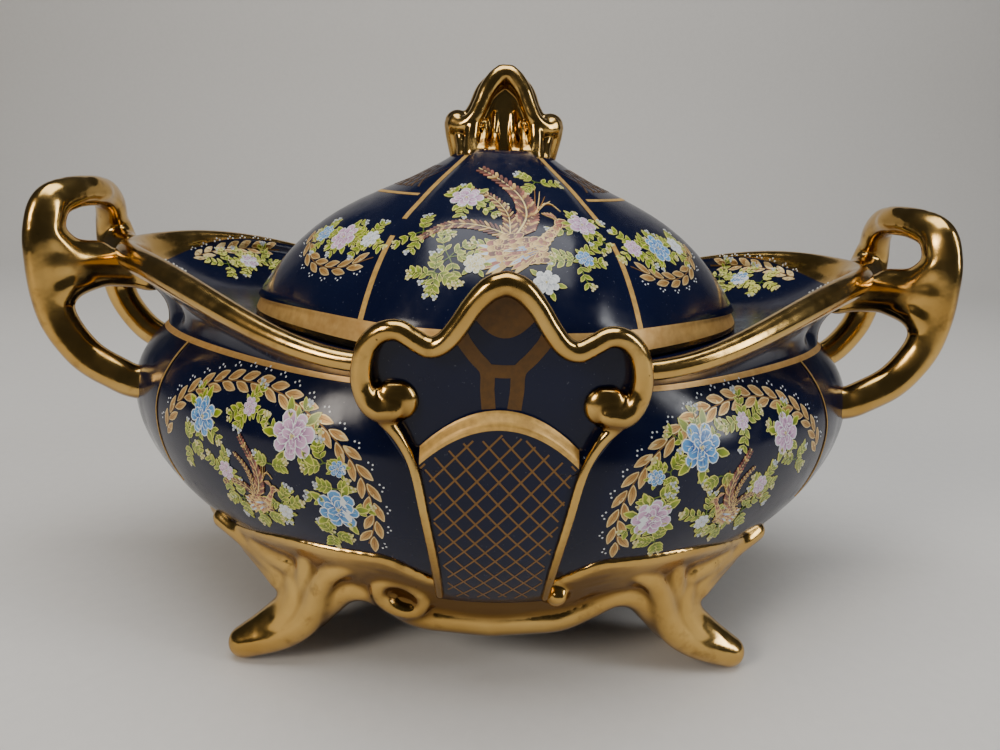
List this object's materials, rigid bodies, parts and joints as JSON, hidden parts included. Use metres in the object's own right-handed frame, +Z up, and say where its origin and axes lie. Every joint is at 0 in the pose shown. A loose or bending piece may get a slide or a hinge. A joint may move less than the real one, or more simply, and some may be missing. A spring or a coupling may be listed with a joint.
{
  "type": "lidded dish",
  "caption": "Lobed oval porcelain serving dish with a flared wavy rim, strap handles, shield cartouches, a footed base and a lift-off domed lid with a crest knob.",
  "frame": {"origin": "on the table, under the middle of the dish", "axes": "+X through the right handle, +Y to the rear, +Z up; the front cartouche faces -Y"},
  "size_m": [0.3822, 0.2406, 0.232],
  "materials": {
    "navy_glaze": "near-black cobalt glaze, glossy",
    "gilt_glaze": "bright liquid gold over glaze, slightly worn"
  },
  "bodies": {
    "dish": {"bowl": "navy_glaze", "front_cartouche": "gilt_glaze", "rear_cartouche": "gilt_glaze", "left_handle": "gilt_glaze", "right_handle": "gilt_glaze", "base_skirt": "gilt_glaze", "front_left_foot": "gilt_glaze", "front_right_foot": "gilt_glaze", "rear_left_foot": "gilt_glaze", "rear_right_foot": "gilt_glaze"},
    "cover": {"lid": "navy_glaze", "lid_knob": "gilt_glaze"}
  },
  "joints": [
    {"name": "lid_lift", "type": "slide", "parent": "dish", "child": "cover", "axis": [0, 0, 1], "range_m": [0, 0.08]}
  ]
}
